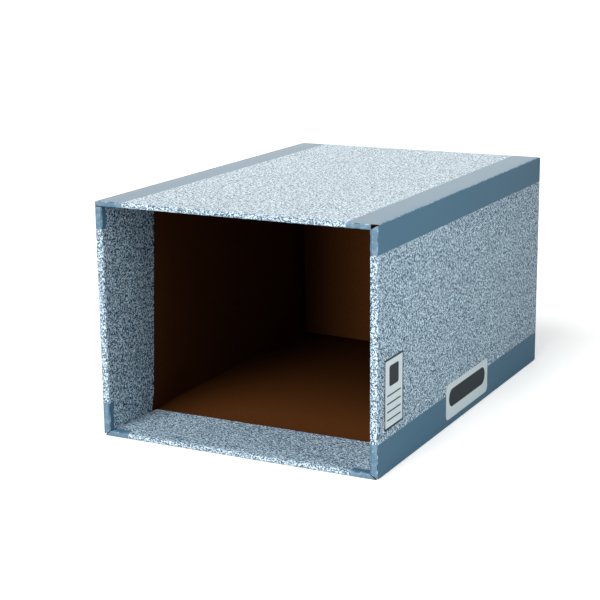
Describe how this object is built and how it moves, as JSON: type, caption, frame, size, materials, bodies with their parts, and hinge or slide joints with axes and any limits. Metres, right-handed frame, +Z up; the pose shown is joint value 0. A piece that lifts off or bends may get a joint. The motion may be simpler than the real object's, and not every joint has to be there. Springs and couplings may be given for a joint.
{
  "type": "cardboard filing drawer case",
  "caption": "Folded corrugated board case for a filing drawer: an empty box lying on its side, open at the front behind a turned-in rim and closed at the rear by its folded flaps.",
  "frame": {"origin": "middle of the base, on the surface that the case stands on", "axes": "+X across the case to its right side seen from the front, +Y from the open front to the closed rear, +Z up"},
  "size_m": [0.366, 0.54, 0.29],
  "materials": {
    "printed_board": "grey-blue stippled print with plain steel-blue bands, semi-gloss, over brown board"
  },
  "bodies": {
    "root": {"drawer_case": "printed_board"}
  },
  "joints": []
}
